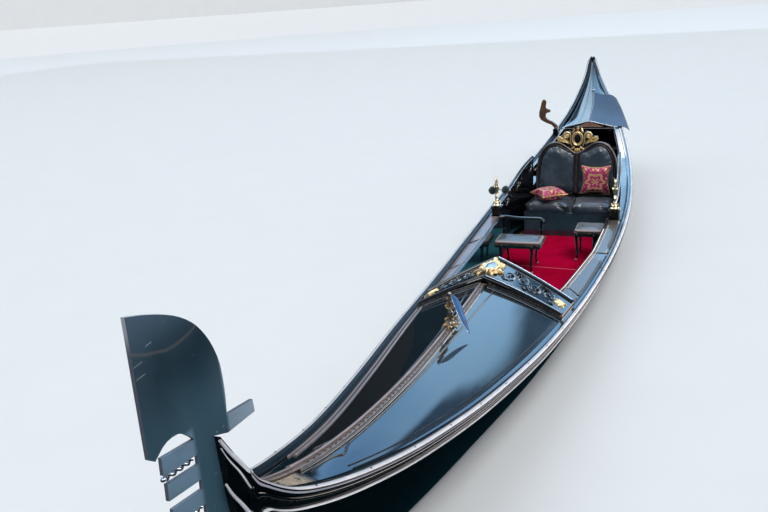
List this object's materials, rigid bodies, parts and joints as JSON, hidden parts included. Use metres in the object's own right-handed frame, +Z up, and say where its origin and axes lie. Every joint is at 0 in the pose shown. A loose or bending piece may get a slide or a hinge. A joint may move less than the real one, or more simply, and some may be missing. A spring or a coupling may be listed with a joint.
{
  "type": "gondola boat",
  "caption": "Black lacquered gondola with a steel prow iron, a roofed foredeck, a carved and cushioned love seat, a small chair and stool, and a walnut oar crutch.",
  "frame": {"origin": "on the waterline amidships, on the boat's centre line", "axes": "+X to the bow, +Y to port, +Z up"},
  "size_m": [10.7183, 1.4209, 1.9493],
  "materials": {
    "gloss": "high gloss black lacquer on timber",
    "wood": "plain oiled timber",
    "walnut": "oiled walnut",
    "steel": "polished steel",
    "brass": "polished brass",
    "gilt": "carved timber with worn gilding",
    "leather": "soft black leather",
    "damask": "crimson and gold damask",
    "carpet": "cut pile carpet",
    "cloth": "thin blue cloth",
    "mat": "flat woven mat"
  },
  "bodies": {
    "root": {"aft_arch": "gloss", "aft_deck_port": "gloss", "aft_deck_starboard": "gloss", "aft_floor": "wood", "back_pad_port": "leather", "back_pad_starboard": "leather", "bottom_aft": "wood", "bottom_fore": "wood", "bow_cap": "gloss", "carpet": "carpet", "chair_frame": "gloss", "chair_seat": "leather", "coaming_port": "gloss", "coaming_starboard": "gloss", "ferro": "steel", "flag_stand": "brass", "floor_boards": "wood", "forcola_block": "gloss", "fore_bulkhead": "gloss", "foredeck_port": "gloss", "foredeck_ridge": "gilt", "foredeck_starboard": "gloss", "pennant": "cloth", "pillow_lying": "damask", "pillow_standing": "damask", "rail_port_aft": "gloss", "rail_port_fore": "gloss", "rail_starboard_aft": "gloss", "rail_starboard_fore": "gloss", "sea_horse_port": "brass", "sea_horse_starboard": "brass", "seat_back": "gloss", "seat_base": "leather", "seat_crest": "gilt", "seat_cushion_port": "leather", "seat_cushion_starboard": "leather", "side_deck_port": "gloss", "side_deck_starboard": "gloss", "side_port_aft": "gloss", "side_port_fore": "gloss", "side_port_mid": "gloss", "side_port_quarter": "gloss", "side_starboard_aft": "gloss", "side_starboard_fore": "gloss", "side_starboard_mid": "gloss", "side_starboard_quarter": "gloss", "standing_mat": "mat", "stem_post": "gloss", "steps": "wood", "stern_post": "gloss", "stool_frame": "gloss", "stool_seat": "leather", "v_board_port": "gloss", "v_board_starboard": "gloss", "well_coaming": "gloss", "wing_port": "gloss", "wing_starboard": "gloss"},
    "locker_door_port": {"locker_door_port": "gloss"},
    "locker_door_starboard": {"locker_door_starboard": "gloss"},
    "forcola": {"forcola": "walnut"}
  },
  "joints": [
    {"name": "locker_door_port_hinge", "type": "hinge", "parent": "root", "child": "locker_door_port", "pos_m": [1.694, 0.288, 0.14], "axis": [0, 0, -1], "range_deg": [0, 90]},
    {"name": "locker_door_starboard_hinge", "type": "hinge", "parent": "root", "child": "locker_door_starboard", "pos_m": [1.694, -0.288, 0.14], "axis": [0, 0, 1], "range_deg": [0, 90]},
    {"name": "forcola_lift", "type": "slide", "parent": "root", "child": "forcola", "axis": [0, 0, 1], "range_m": [0, 0.2]}
  ]
}
